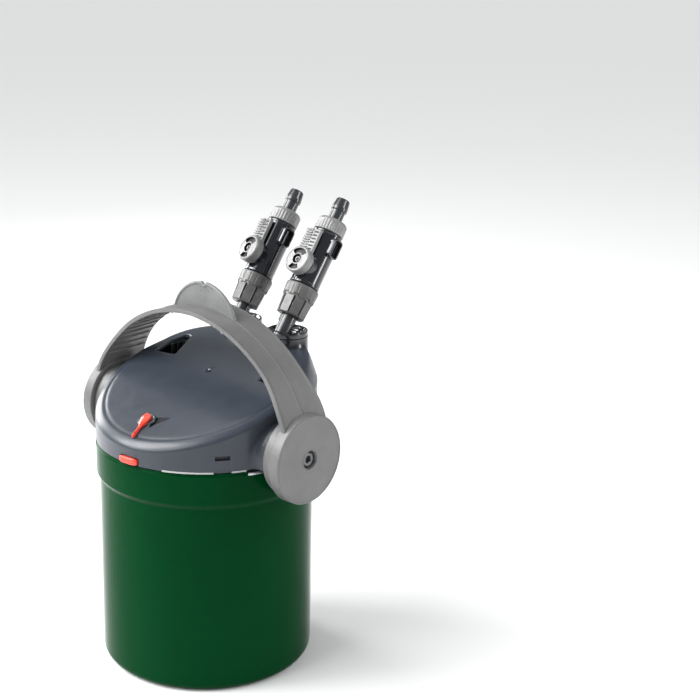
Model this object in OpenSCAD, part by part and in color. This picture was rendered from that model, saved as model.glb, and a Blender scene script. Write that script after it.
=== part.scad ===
// Canister filter: a clip-on pump head on a green media canister, with a folding
// carrying handle and two leaning hose taps. Millimetres, +Z up, front faces -Y.
// The origin is the centre of the canister's flat bottom.

/* [Canister] */
// Outer radius of the canister at its foot
canister_r = 81; // [70:0.5:81.5]
// Outer radius of the thicker band at its mouth
neck_r = 83.7; // [83.2:0.1:84]
// Height of the mouth, where the pump head sits
seam_z = 175; // [174:0.5:176]
// Height of the thicker band
neck_h = 25; // [15:1:40]
// Wall thickness
wall = 2.5; // [2:0.25:3]

/* [Pump head] */
// Outer radius of the head's side wall
head_r = 83.5; // [83:0.1:83.6]
// Slope of the lid's front and middle, degrees
lid_slope = 19.8; // [19:0.1:20.5]
// Height of the lid's rim plane over the middle
lid_mid_z = 222; // [221:0.5:223]
// Slope of the lid behind the crease, degrees
rear_slope = 6.5; // [5:0.5:8]
// Height over the middle of the plane that the rear of the lid follows
rear_mid_z = 232.7; // [232:0.1:234]
// How far the lid domes up over those planes
dome_rise = 3; // [2:0.5:4]
// Radius of the dome
dome_r = 1200; // [1000:50:1500]

/* [Handle] */
// Height of the handle's pivot axis
pivot_z = 183; // [182:0.5:184]
// Half the width over the two hubs
hub_x = 107; // [106.5:0.25:108]
// Radius of the hub discs
hub_r = 33.3; // [32:0.1:34]
// Thickness of the hub discs
hub_t = 10.6; // [9:0.1:11]
// Height of the arch over the pivot axis
arch_h = 94; // [92:0.5:98]
// Exponent of the arch's outline: 2 is an ellipse
arch_n = 1.92; // [1.8:0.01:2]
// Width of the strap
strap_w = 44; // [36:1:48]
// Width of the strap from the shoulders up
strap_top_w = 36; // [32:1:44]
// Thickness of the strap
strap_t = 3.6; // [3:0.1:4]
// Forward tilt of the handle at rest, degrees
handle_tilt = 1; // [0:0.5:2]

/* [Taps] */
// Half the distance between the two taps
tap_x = 24.6; // [23.5:0.1:25]
// Distance of the taps' lower ends behind the middle
tap_y = 64.4; // [63:0.2:66]
// Height of the taps' lower ends
tap_z = 261; // [259:0.5:263]
// Backward lean of the taps, degrees
tap_lean = 36; // [33:0.5:38]
// Turn of the left tap about its own axis, degrees
tap_turn_in = -11; // [-15:1:0]
// Radius of the hose barb's land, for hose of 12 mm bore
barb_r = 6.4; // [6.2:0.05:6.6]

/* [Hidden] */
$fn = 96;

// clearances
gap = 0.4;
run = 0.05;
seat = 0.3;

// canister and what stands in it
mouth_r = 79.2;
inside_r = 78.3;
floor_t = 3.5;
tube_x = -tap_x;
tube_y = 60;
tube_r = 7.5;
notch_r = 9.3;
basket_r = 75.5;
basket_z = 8;
basket_h = 70;
pad_r = 75;
media_pitch = 16;
tray_r = 76;
tray_z = 101;
tray_h = 24;

// pump head
dome_c = [0, 0, lid_mid_z] + (dome_rise - dome_r) * [0, -sin(lid_slope), cos(lid_slope)];
rear_c = [0, 0, rear_mid_z] + (dome_rise - dome_r) * [0, -sin(rear_slope), cos(rear_slope)];
head_z = seam_z + gap;
motor_y = 5;
well_r = 11;
plug_z = 160;
plug_r = 78.4;
seal_r = 76.8;
seal_z = 168;
shaft_r = 1.5;
shaft_z = 146;
wheel_z = 149.5;
wheel_box_z = 142;
magnet_z = 167;
base_z = seam_z + 1.6;
turret_y = 61.4;
turret_r = 16;
riser_y = turret_y - 1.4;
riser_r = 9;
riser_bore = 5.5;
turret_top = 251;
boss_x = 87.2;
boss_r = 26;
flare_r = 40;
boss_front = 20.5;
drum_x = 87.5;
drum_r = 29.5;
pin_r = 6;
hub_in_x = hub_x - hub_t;
crest_r = 34.6;

// flow pointer on the lid
pointer_y = -60;
pointer_tilt = asin((dome_c[1] - pointer_y) / dome_r);
pointer_turn = -74;

// red tab
tab_w = 17;
tab_z = 176.3;
tab_h = 5;
tab_turn = 4.5;

// tap, along its own axis from the lower nut's lower face
nut_h = 24.6;
body_top = 71.8;
spigot_top = body_top + 5.7;
hose_seal_z = spigot_top - 0.9;
barb_z = spigot_top + 0.1;
upper_nut_h = 11;
tap_r = 12;
spigot_r = 9.5;
top_spigot_r = 8;
adapter_r = 6.2;
adapter_seal_z = -16;
barb_stem_r = 5.6;
bore_r = 4.5;
cock_z = 40;
cock_r = 6.5;
lever_face = 20.6;
lever_back = 13;
lever_r = 10.9;
bar_w = 13;
bar_len = 28.5;
bar_t = 2.6;
rib_pitch = 2.8;
screw_head_r = 2.8;
screw_head_z = lever_face - 2.4;

function on_dome(x, y) = dome_c[2] + sqrt(pow(dome_r, 2) - pow(x - dome_c[0], 2) - pow(y - dome_c[1], 2));
function arch(a, h, steps = 72) =
    [for (i = [0:steps]) let (t = 180 * i / steps, c = cos(t), s = sin(t))
        [a * sign(c) * pow(abs(c), 2 / arch_n), h * pow(abs(s), 2 / arch_n)]];
function wheel(r, depth, teeth, duty = 0.5) =
    [for (i = [0:teeth - 1], k = [0:3])
        let (q = (i + [0, duty * 0.9, duty, 0.98][k]) * 360 / teeth, rr = k < 2 ? r : r - depth)
            [rr * cos(q), rr * sin(q)]];

module ring(r_out, r_in, h) {
    difference() {
        cylinder(r = r_out, h = h);
        translate([0, 0, -1]) cylinder(r = r_in, h = h + 2);
    }
}

module torus(r_mid, r_wire) {
    rotate_extrude() translate([r_mid, 0]) circle(r = r_wire, $fn = 24);
}

// axis of the intake tube that every layer in the canister is notched for
module at_tube() {
    translate([tube_x, tube_y, 0]) children();
}

module along_x(side) {
    translate([0, 0, pivot_z]) rotate([0, side * 90, 0]) children();
}

module at_tap(side) {
    translate([side * tap_x, tap_y, tap_z]) rotate([-tap_lean, 0, 0])
        rotate([0, 0, side < 0 ? tap_turn_in : 0]) children();
}

// ---------------------------------------------------------------- canister

module canister() {
    color([0.0, 0.33, 0.15, 0.75])
    difference() {
        rotate_extrude() union() {
            translate([0, 4]) square([canister_r, seam_z - 4]);
            square([canister_r - 4, 8]);
            translate([canister_r - 4, 4]) circle(r = 4);
            translate([0, seam_z - neck_h]) square([neck_r, neck_h]);
        }
        translate([0, 0, floor_t]) cylinder(r = inside_r, h = seam_z);
        translate([0, 0, seam_z - neck_h + 2]) cylinder(r = mouth_r, h = neck_h);
    }
}

module rim_clip(side) {
    color([0.72, 0.73, 0.75])
    rotate([0, 0, side * 71])
        intersection() {
            translate([0, 0, seam_z - 2.2]) ring(neck_r + 2.4, neck_r, 2.2);
            translate([-7, -neck_r - 5, 0]) cube([14, 10, seam_z + 10]);
        }
}

module rim_clip_left() {
    rim_clip(-1);
}

module rim_clip_right() {
    rim_clip(1);
}

module media_basket() {
    color([0.93, 0.93, 0.92])
    difference() {
        translate([0, 0, basket_z]) cylinder(r = basket_r, h = basket_h);
        at_tube() cylinder(r = notch_r, h = seam_z);
        difference() {
            translate([0, 0, basket_z + 2.5]) cylinder(r = basket_r - 2, h = basket_h);
            at_tube() cylinder(r = notch_r + 2, h = seam_z);
        }
        for (x = [-56:14:56])
            translate([x - 3, -32, 0]) cube([6, 64, basket_z + 5]);
    }
}

module ceramic_media() {
    color([0.90, 0.87, 0.80])
    for (layer = [0:3], i = [-4:4], j = [-4:4]) {
        x = (i + (j % 2 == 0 ? 0 : 0.5)) * media_pitch;
        y = j * media_pitch * 0.87;
        if (norm([x, y]) < 64 && norm([x - tube_x, y - tube_y]) > 20)
            translate([x, y, basket_z + 3 + layer * media_pitch]) ring(6.5, 3.5, media_pitch - 2);
    }
}

module layer_pad(z, h) {
    difference() {
        translate([0, 0, z]) cylinder(r = pad_r, h = h);
        at_tube() cylinder(r = notch_r, h = seam_z);
    }
}

module fine_pad() {
    color([0.96, 0.96, 0.95]) layer_pad(basket_z + basket_h + 0.5, 10);
}

module carbon_pad() {
    color([0.10, 0.10, 0.11]) layer_pad(basket_z + basket_h + 11, 10);
}

module prefilter_tray() {
    color([0.16, 0.18, 0.20])
    difference() {
        translate([0, 0, tray_z]) cylinder(r = tray_r, h = tray_h);
        at_tube() cylinder(r = notch_r, h = seam_z);
        difference() {
            translate([0, 0, tray_z + 2.5]) cylinder(r = tray_r - 2, h = 30);
            at_tube() cylinder(r = notch_r + 2, h = seam_z);
        }
        for (i = [0:11], r = [22, 42, 60])
            rotate([0, 0, i * 30 + 15]) translate([r, 0, tray_z - 6])
                cylinder(r = r / 12 + 1.5, h = 20, $fn = 24);
    }
}

module coarse_pad() {
    color([0.10, 0.32, 0.68])
    difference() {
        translate([0, 0, tray_z + 3]) cylinder(r = tray_r - 2.5, h = 16);
        at_tube() cylinder(r = notch_r + 3, h = seam_z);
        translate([-25, -2, tray_z]) cube([50, 4, 30]);
    }
}

module tray_lid() {
    color([0.14, 0.15, 0.17])
    difference() {
        union() {
            translate([0, 0, tray_z + 20]) cylinder(r = tray_r - 2.4, h = 2.5);
            for (s = [-1, 1])
                translate([s * 48, 0, tray_z + 22]) cylinder(r = 11, h = 8);
        }
        at_tube() cylinder(r = notch_r + 2.4, h = seam_z);
        for (s = [-1, 1])
            translate([s * 48, 0, tray_z + 23.5]) cylinder(r = 9, h = 8);
        for (i = [0:17])
            rotate([0, 0, i * 20]) translate([26, -1.5, tray_z + 14]) cube([8, 3, 20]);
    }
}

// ---------------------------------------------------------------- pump head

// everything below the lid's surface, less a skin of the given depth
module under_lid(depth) {
    intersection() {
        children();
        translate(dome_c) sphere(r = dome_r - depth, $fn = 180);
        translate(rear_c) sphere(r = dome_r - depth, $fn = 180);
    }
}

// concave flare that carries the handle's pivot, about the pivot axis
module hub_boss(side) {
    along_x(side)
        rotate_extrude() polygon([[0, 60], [flare_r, 60],
            for (t = [90:-15:0]) [flare_r - (flare_r - boss_r) * cos(t), boss_x - 15 * sin(t)],
            [0, boss_x]]);
}

module grip_window(side) {
    linear_extrude(300)
        offset(r = 1.5)
            polygon([[side * 45, 9], [side * 67, 8], [side * 64, 21], [side * 56, 32], [side * 53, 30]]);
}

module head_cover() {
    color([0.24, 0.27, 0.32])
    difference() {
        union() {
            under_lid(0) {
                translate([0, 0, head_z]) cylinder(r = head_r, h = 100);
                for (side = [-1, 1]) hub_boss(side);
            }
            for (side = [-1, 1])
                translate([side * tap_x, turret_y, 0])
                    rotate_extrude() polygon([[0, 236], [18.5, 238], [17, 244], [16.6, 246], [0, 246]]);
        }
        under_lid(wall) translate([0, 0, head_z - 5]) cylinder(r = head_r - wall, h = 100);
        translate([0, 0, 100]) cylinder(r = neck_r + 0.6, h = head_z - 100);
        translate([-150, -150, 0]) cube([300, 300, pivot_z - 30]);
        translate([-150, -150, 0]) cube([300, 150 - boss_front, head_z]);
        for (side = [-1, 1]) {
            along_x(side) cylinder(r = pin_r, h = hub_x);
            translate([side * tap_x, turret_y, 100]) cylinder(r = turret_r, h = 200);
            translate([0, 0, 185]) grip_window(side);
        }
        rotate([0, 0, tab_turn]) translate([-tab_w / 2 - seat, -90, tab_z - seat])
            cube([tab_w + 2 * seat, 20, tab_h + 2 * seat]);
        rotate([0, 0, 54]) translate([-5.5, -90, 185.4]) cube([11, 20, 3]);
        translate([0, pointer_y, on_dome(0, pointer_y)]) rotate([pointer_tilt, 0, 0])
            translate([0, 0, -8]) cylinder(r = 2.05, h = 20);
        translate([0, head_r + 10, 200]) rotate([90, 0, 0]) cylinder(r = 5.5, h = 20);
    }
}

module head_base() {
    color([0.20, 0.22, 0.25])
    difference() {
        union() {
            translate([0, 0, plug_z]) cylinder(r = plug_r, h = base_z - plug_z);
            translate([0, 0, head_z]) cylinder(r = 80.6, h = base_z - head_z);
            translate([0, motor_y, plug_z]) cylinder(r = well_r + 1.6, h = 42);
        }
        difference() {
            translate([0, 0, plug_z + 3]) cylinder(r = 75, h = 30);
            translate([0, motor_y, 100]) cylinder(r = well_r + 1.6, h = 110);
            for (side = [-1, 1])
                translate([side * tap_x, riser_y, 100]) cylinder(r = riser_r, h = 110);
        }
        translate([0, motor_y, plug_z - 1]) cylinder(r = well_r, h = 41);
        for (side = [-1, 1])
            translate([side * tap_x, riser_y, 100]) cylinder(r = riser_bore, h = 110);
        rotate_extrude() translate([seal_r, seal_z]) circle(r = 2.1, $fn = 24);
    }
}

module head_seal_ring() {
    color([0.95, 0.45, 0.12]) translate([0, 0, seal_z]) torus(seal_r, 2.0);
}

module intake_tube() {
    color([0.20, 0.22, 0.25])
    at_tube() translate([0, 0, 14]) ring(tube_r, tube_r - 2, plug_z - 14);
}

// upright socket behind the lid that a tap plugs into
module turret(side) {
    color([0.10, 0.12, 0.14])
    difference() {
        translate([side * tap_x, 0, 0]) difference() {
            union() {
                translate([0, riser_y, base_z]) cylinder(r = riser_r, h = 40);
                translate([0, turret_y, 212]) cylinder(r = turret_r, h = turret_top - 212);
            }
            translate([0, turret_y, turret_top - 3]) cylinder(r = turret_r - 2.5, h = 10);
            translate([0, riser_y, 100]) cylinder(r = riser_bore, h = 132);
        }
        at_tap(side) translate([0, 0, -23]) cylinder(r = adapter_r + 0.5, h = 30);
        at_tap(side) translate([0, 0, -33]) cylinder(r = bore_r, h = 30);
    }
}

module turret_in() {
    turret(-1);
}

module turret_out() {
    turret(1);
}

module motor_housing() {
    color([0.12, 0.13, 0.15])
    translate([0, motor_y, base_z]) difference() {
        cylinder(r = 37, h = 29);
        translate([0, 0, -1]) cylinder(r = 34.5, h = 27.5);
    }
}

module stator_core() {
    color([0.55, 0.56, 0.58])
    translate([0, motor_y, 0]) difference() {
        translate([-21, -15, 181]) cube([42, 30, 16]);
        translate([0, 0, 170]) cylinder(r = well_r + 1.7, h = 40);
    }
}

module windings() {
    color([0.72, 0.40, 0.18])
    for (side = [-1, 1])
        translate([side * 26, motor_y, 189]) difference() {
            translate([-4.8, -12, -9]) cube([9.6, 24, 18]);
            for (k = [-1, 1]) translate([0, k * 14, -10]) cylinder(r = 4, h = 20);
        }
}

module rotor_shaft() {
    color([0.92, 0.90, 0.85]) translate([0, motor_y, shaft_z]) cylinder(r = shaft_r, h = 51);
}

module bush_upper() {
    color([0.10, 0.10, 0.10]) translate([0, motor_y, shaft_z + 49.5]) ring(well_r - run, shaft_r, 4.3);
}

module bush_lower() {
    color([0.10, 0.10, 0.10]) translate([0, motor_y, shaft_z - 1.4]) ring(3.5, shaft_r, 4);
}

module impeller_cover() {
    color([0.18, 0.20, 0.22])
    translate([0, motor_y, wheel_box_z]) difference() {
        cylinder(r = 22, h = plug_z - wheel_box_z);
        translate([0, 0, 2.5]) cylinder(r = 19.5, h = 30);
        for (i = [0:5])
            rotate([0, 0, i * 60]) translate([8.5, 0, -1]) cylinder(r = 3, h = 5, $fn = 32);
        translate([0, -5, 5]) cube([30, 10, 9]);
    }
}

module rotor_magnet() {
    color([0.28, 0.28, 0.30]) translate([0, motor_y, magnet_z]) ring(10.2, shaft_r + run, 27);
}

module impeller() {
    color([0.85, 0.86, 0.84])
    translate([0, motor_y, wheel_z]) difference() {
        union() {
            cylinder(r = 4.5, h = magnet_z - wheel_z - 0.5);
            translate([0, 0, 8.3]) cylinder(r = 16, h = 1.2);
            for (i = [0:5])
                rotate([0, 0, i * 60]) translate([3.5, -0.7, 1.5]) cube([12, 1.4, 7]);
        }
        translate([0, 0, -1]) cylinder(r = shaft_r + run, h = 30);
    }
}

module cable_gland() {
    color([0.09, 0.10, 0.11])
    translate([0, 0, 200]) rotate([-90, 0, 0]) difference() {
        union() {
            translate([0, 0, head_r - 4]) cylinder(r = 5.5, h = 4);
            translate([0, 0, head_r]) cylinder(r1 = 7.5, r2 = 6, h = 5);
        }
        translate([0, 0, head_r - 10]) cylinder(r = 3.2, h = 20);
    }
}

module red_tab() {
    color([0.92, 0.22, 0.16])
    rotate([0, 0, tab_turn]) {
        difference() {
            translate([-tab_w / 2, -head_r - 3, tab_z]) cube([tab_w, 3.5, tab_h]);
            translate([0, 0, tab_z - 1]) difference() {
                cylinder(r = head_r + 20, h = 10);
                translate([0, 0, -1]) cylinder(r = head_r + 2.6, h = 12);
            }
        }
        translate([-3, -head_r + 0.2, tab_z + 1.8]) cube([6, 4.8, tab_h - 2.6]);
        translate([-10, -head_r + 4.5, tab_z + 1.5]) cube([20, 1.5, tab_h]);
    }
}

module flow_pointer() {
    color([0.95, 0.22, 0.15])
    translate([0, pointer_y, on_dome(0, pointer_y)]) rotate([pointer_tilt, 0, 0]) {
        translate([0, 0, -5.5]) cylinder(r = 2, h = 8);
        translate([0, 0, 0.5]) cylinder(r = 4.6, h = 3.2);
        translate([0, 0, -5.5]) cylinder(r = 3.4, h = 1.6);
        rotate([0, 0, pointer_turn]) translate([0, 0, 0.9]) linear_extrude(2.2)
            polygon([[0, -4.4], [6, -3.4], [11, -1.3], [21, -1], [21, 1], [11, 1.3], [6, 3.4], [0, 4.4]]);
    }
}

// ---------------------------------------------------------------- handle

module pivot_pin(side) {
    color([0.60, 0.61, 0.62])
    along_x(side) translate([0, 0, 66]) difference() {
        cylinder(r = pin_r, h = hub_in_x + 4 - 66);
        translate([0, 0, 10]) cylinder(r = 2, h = 60);
    }
}

module pivot_pin_left() {
    pivot_pin(-1);
}

module pivot_pin_right() {
    pivot_pin(1);
}

module hub_screw(side) {
    color([0.35, 0.35, 0.36])
    along_x(side) difference() {
        union() {
            translate([0, 0, 86]) cylinder(r = 2, h = hub_in_x + 4 - 86);
            translate([0, 0, hub_in_x + 4]) cylinder(r = 5.6, h = 4.6);
        }
        translate([0, 0, hub_in_x + 6.2]) cylinder(r = 2.7, h = 10, $fn = 6);
    }
}

module hub_screw_left() {
    hub_screw(-1);
}

module hub_screw_right() {
    hub_screw(1);
}

module hub_disc(side) {
    color([0.52, 0.52, 0.53])
    along_x(side) difference() {
        union() {
            translate([0, 0, drum_x]) cylinder(r = drum_r, h = hub_in_x - drum_x);
            translate([0, 0, hub_in_x]) cylinder(r = hub_r, h = hub_t - 2);
            translate([0, 0, hub_x - 2]) rotate_extrude() polygon([[0, 0], [hub_r, 0],
                for (t = [0:15:90]) [hub_r - 2 + 2 * cos(t), 2 * sin(t)], [0, 2]]);
        }
        cylinder(r = pin_r + run, h = hub_x + 1);
        translate([0, 0, hub_in_x + 3.6]) cylinder(r = 6.3, h = 20);
    }
}

module hub_disc_left() {
    hub_disc(-1);
}

module hub_disc_right() {
    hub_disc(1);
}

module crest_outline() {
    difference() {
        translate([0, arch_h - 16]) circle(r = crest_r);
        polygon(arch(hub_x - 1, arch_h - 1));
        translate([-200, -1]) square([400, 1 + arch_h - 30]);
        translate([0, arch_h - 16 + crest_r]) rotate(45) square(3.6, center = true);
    }
}

// outline of the strap seen along the pivot axis
module strap_side() {
    half = strap_w / 2;
    top = strap_top_w / 2;
    polygon([[-half, 0], [half, 0], [half, 34], [top, 60], [top, 120], [-top, 120], [-top, 60], [-half, 34]]);
}

module handle_strap() {
    color([0.50, 0.50, 0.51])
    difference() {
        translate([0, 0, pivot_z]) rotate([handle_tilt, 0, 0]) rotate([90, 0, 0]) {
            intersection() {
                translate([0, 0, -strap_w / 2]) linear_extrude(strap_w) difference() {
                    polygon(arch(hub_x, arch_h));
                    polygon(arch(hub_x - strap_t, arch_h - strap_t));
                    translate([-200, -1]) square([400, 21]);
                }
                rotate([0, 90, 0]) translate([0, 0, -200]) linear_extrude(400) strap_side();
            }
            translate([0, 0, -1.6]) linear_extrude(3.2) crest_outline();
        }
        for (side = [-1, 1])
            along_x(side) translate([0, 0, drum_x - 5]) cylinder(r = hub_r, h = 40);
    }
}

// ---------------------------------------------------------------- taps

module adapter(side) {
    color([0.22, 0.23, 0.24])
    at_tap(side) difference() {
        union() {
            translate([0, 0, -22]) cylinder(r = adapter_r, h = 27.6);
            translate([-7.6, 0, -5.5]) cylinder(r = 1.6, h = 5);
            translate([-7.6, -1.6, -5.5]) cube([4, 3.2, 5]);
        }
        translate([0, 0, -23]) cylinder(r = bore_r, h = 40);
        translate([0, 0, adapter_seal_z - 1]) ring(9, 5.2, 2);
    }
}

module adapter_seal(side) {
    color([0.06, 0.06, 0.06]) at_tap(side) translate([0, 0, adapter_seal_z]) torus(5.92, 0.72);
}

module lower_nut(side) {
    color([0.47, 0.46, 0.45])
    at_tap(side) difference() {
        union() {
            linear_extrude(17) polygon(wheel(11.9, 1.2, 8, 0.8));
            translate([0, 0, 13.9]) cylinder(r1 = 11.2, r2 = 13.4, h = 2.3);
            translate([0, 0, 16.2]) cylinder(r = 13.4, h = nut_h - 16.2);
        }
        translate([0, 0, -1]) cylinder(r = adapter_r + 0.5, h = 10);
        translate([0, 0, 5.2]) cylinder(r = spigot_r + 0.5, h = 30);
    }
}

module tap_body(side) {
    color([0.11, 0.13, 0.16])
    at_tap(side) difference() {
        union() {
            translate([0, 0, 6]) cylinder(r = spigot_r, h = 30);
            translate([0, 0, nut_h + gap]) cylinder(r = tap_r, h = body_top - nut_h - 2 * gap);
            translate([0, 0, 60]) cylinder(r = top_spigot_r, h = spigot_top - 60);
            translate([0, 0, cock_z]) rotate([90, 0, 0]) cylinder(r = 10.5, h = lever_back - gap);
            translate([6, -5.5, 52.5]) cube([8.6, 11, 15.5]);
        }
        translate([0, 0, -1]) cylinder(r = bore_r, h = 90);
        translate([0, 0, cock_z]) rotate([90, 0, 0]) translate([0, 0, -8]) cylinder(r = cock_r, h = 30);
        translate([12.1, -4.2, 53.9]) cube([5, 8.4, 12.7]);
        translate([0, 0, hose_seal_z - 0.9]) ring(7.2, 5.2, 5);
    }
}

module cock(side) {
    color([0.88, 0.88, 0.86])
    at_tap(side) difference() {
        translate([0, 0, cock_z]) rotate([90, 0, 0]) translate([0, 0, -7.7])
            cylinder(r = cock_r - run, h = 7.7 + lever_back);
        translate([0, 0, cock_z - 10]) cylinder(r = bore_r, h = 20);
        translate([0, 0, cock_z]) rotate([90, 0, 0]) translate([0, 0, 6]) cylinder(r = 1.5, h = 20);
    }
}

module lever(side) {
    color([0.74, 0.73, 0.71])
    at_tap(side) translate([0, 0, cock_z]) rotate([90, 0, 0]) difference() {
        union() {
            translate([0, 0, lever_back]) cylinder(r = lever_r, h = lever_face - lever_back);
            translate([-bar_w / 2, 4, lever_back]) cube([bar_w, bar_len - 4, bar_t]);
            for (i = [0:5])
                translate([-bar_w / 2 - 0.8, lever_r + 1.5 + i * rib_pitch, lever_back + 0.4])
                    cube([bar_w + 0.8, rib_pitch - 1.3, bar_t + 0.6]);
        }
        cylinder(r = 1.5, h = 40);
        translate([0, 0, screw_head_z]) cylinder(r = screw_head_r + gap, h = 10);
        for (a = [0, 180]) rotate([0, 0, a]) intersection() {
            translate([0, 0, lever_face - 2]) ring(8.2, 5.2, 5);
            translate([-5.5, 0, 0]) cube([11, 20, 30]);
        }
    }
}

module lever_screw(side) {
    color([0.20, 0.20, 0.21])
    at_tap(side) translate([0, 0, cock_z]) rotate([90, 0, 0]) {
        translate([0, 0, 6.5]) cylinder(r = 1.5, h = screw_head_z - 6.5);
        translate([0, 0, screw_head_z]) cylinder(r = screw_head_r, h = 1.6);
    }
}

module upper_nut(side) {
    color([0.74, 0.73, 0.71])
    at_tap(side) translate([0, 0, body_top]) difference() {
        union() {
            linear_extrude(upper_nut_h - 2.4) polygon(wheel(12, 0.45, 28));
            translate([0, 0, upper_nut_h - 2.4])
                rotate_extrude() polygon([[0, 0], [11.8, 0], [11.4, 1.2], [9.9, 2.4], [0, 2.4]]);
        }
        translate([0, 0, -1]) cylinder(r = top_spigot_r + gap, h = upper_nut_h - 1.6);
        translate([0, 0, 5]) cylinder(r = barb_stem_r + 0.5, h = 20);
    }
}

module barb(side) {
    color([0.30, 0.31, 0.32])
    at_tap(side) translate([0, 0, barb_z]) rotate_extrude() polygon([
        [4, 0], [7.6, 0], [7.6, 2.2], [barb_stem_r, 2.2], [barb_stem_r, 14], [barb_r, 14],
        [barb_r, 16.8], [5.3, 23.8], [4, 23.8]]);
}

module barb_seal(side) {
    color([0.06, 0.06, 0.06]) at_tap(side) translate([0, 0, hose_seal_z]) torus(6.2, 0.9);
}

module adapter_in() { adapter(-1); }
module adapter_seal_in() { adapter_seal(-1); }
module lower_nut_in() { lower_nut(-1); }
module tap_body_in() { tap_body(-1); }
module cock_in() { cock(-1); }
module lever_in() { lever(-1); }
module lever_screw_in() { lever_screw(-1); }
module upper_nut_in() { upper_nut(-1); }
module barb_in() { barb(-1); }
module barb_seal_in() { barb_seal(-1); }
module adapter_out() { adapter(1); }
module adapter_seal_out() { adapter_seal(1); }
module lower_nut_out() { lower_nut(1); }
module tap_body_out() { tap_body(1); }
module cock_out() { cock(1); }
module lever_out() { lever(1); }
module lever_screw_out() { lever_screw(1); }
module upper_nut_out() { upper_nut(1); }
module barb_out() { barb(1); }
module barb_seal_out() { barb_seal(1); }

canister();
rim_clip_left();
rim_clip_right();
media_basket();
ceramic_media();
fine_pad();
carbon_pad();
prefilter_tray();
coarse_pad();
tray_lid();
head_cover();
head_base();
head_seal_ring();
intake_tube();
turret_in();
turret_out();
motor_housing();
stator_core();
windings();
rotor_shaft();
bush_upper();
bush_lower();
impeller_cover();
rotor_magnet();
impeller();
cable_gland();
pivot_pin_left();
pivot_pin_right();
hub_screw_left();
hub_screw_right();
handle_strap();
hub_disc_left();
hub_disc_right();
red_tab();
flow_pointer();
adapter_in();
adapter_seal_in();
lower_nut_in();
tap_body_in();
cock_in();
lever_in();
lever_screw_in();
upper_nut_in();
barb_in();
barb_seal_in();
adapter_out();
adapter_seal_out();
lower_nut_out();
tap_body_out();
cock_out();
lever_out();
lever_screw_out();
upper_nut_out();
barb_out();
barb_seal_out();
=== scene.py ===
import math

import bmesh
import bpy
import numpy as np
from mathutils import Matrix, Vector
from mathutils.geometry import delaunay_2d_cdt


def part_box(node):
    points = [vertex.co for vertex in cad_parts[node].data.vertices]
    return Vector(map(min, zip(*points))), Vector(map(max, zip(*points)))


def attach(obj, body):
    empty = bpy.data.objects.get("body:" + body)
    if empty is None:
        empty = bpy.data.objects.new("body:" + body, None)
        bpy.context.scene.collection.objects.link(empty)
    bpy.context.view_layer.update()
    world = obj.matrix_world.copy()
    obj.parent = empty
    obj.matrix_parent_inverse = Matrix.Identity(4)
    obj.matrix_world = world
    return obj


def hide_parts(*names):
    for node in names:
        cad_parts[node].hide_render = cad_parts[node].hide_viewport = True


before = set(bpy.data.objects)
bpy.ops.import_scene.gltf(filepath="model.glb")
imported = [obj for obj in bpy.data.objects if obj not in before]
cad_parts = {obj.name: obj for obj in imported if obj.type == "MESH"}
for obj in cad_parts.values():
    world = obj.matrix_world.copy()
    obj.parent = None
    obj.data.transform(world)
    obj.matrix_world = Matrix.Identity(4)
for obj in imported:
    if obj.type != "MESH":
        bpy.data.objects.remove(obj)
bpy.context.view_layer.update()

# Lengths below are millimetres, in the CAD frame: +Z up, front faces -Y. Bearings are degrees from -Y
# toward +X.
MM = 0.001
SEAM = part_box("canister")[1].z / MM
FOOT_R = 81.0
NECK_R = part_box("canister")[1].x / MM
NECK_Z = SEAM - 25
HEAD_Z = SEAM + 0.4
HEAD_R, LID_R, LID_T, GROOVE_R = 83.5, 76.5, 3.0, 76.2
HUB_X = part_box("hub_disc_right")[1].x / MM
HUB_LOW, HUB_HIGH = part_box("hub_disc_right")
PIVOT_Z = (HUB_LOW.z + HUB_HIGH.z) / 2 / MM
HUB_R = (HUB_HIGH.z - HUB_LOW.z) / 2 / MM
HUB_IN_X = HUB_X - 10.6
DRUM_X, DRUM_R = 87.5, 29.5
BOSS_X, BOSS_R, FLARE_R = 87.2, 26.0, 40.0
ARCH_H, ARCH_N = 94.0, 1.92
STRAP_W, STRAP_TOP_W, STRAP_T, TILT = 44.0, 36.0, 3.6, -1.0
CREST_R = 34.6
TAP = (24.6, 64.4, 261.0)
TAP_LEAN, TAP_TURN_IN = 36.0, -11.0
TURRET_Y, TURRET_R, TURRET_TOP = 61.4, 16.0, 251.0
COCK_Z = 40.0
DOME_R, DOME_RISE = 1200.0, 3.0
FRONT_DOME, REAR_DOME = (222.0, 19.8), (232.7, 6.5)      # height, slope in degrees
WINDOW_EDGE = 1.3
GATE_Y, POINTER_Y = 3.0, -60.0
TAB_BEARING, SLOT_BEARING, CLIP_BEARING, CLIP_HALF = 4.5, 54.0, 71.0, 4.6
CAMERA_BEARING = 46.5
SIDES = ((-1, "left"), (1, "right"))
PORTS = ((-1, "in"), (1, "out"))


# ------------------------------------------------------------------ mesh tools

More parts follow.
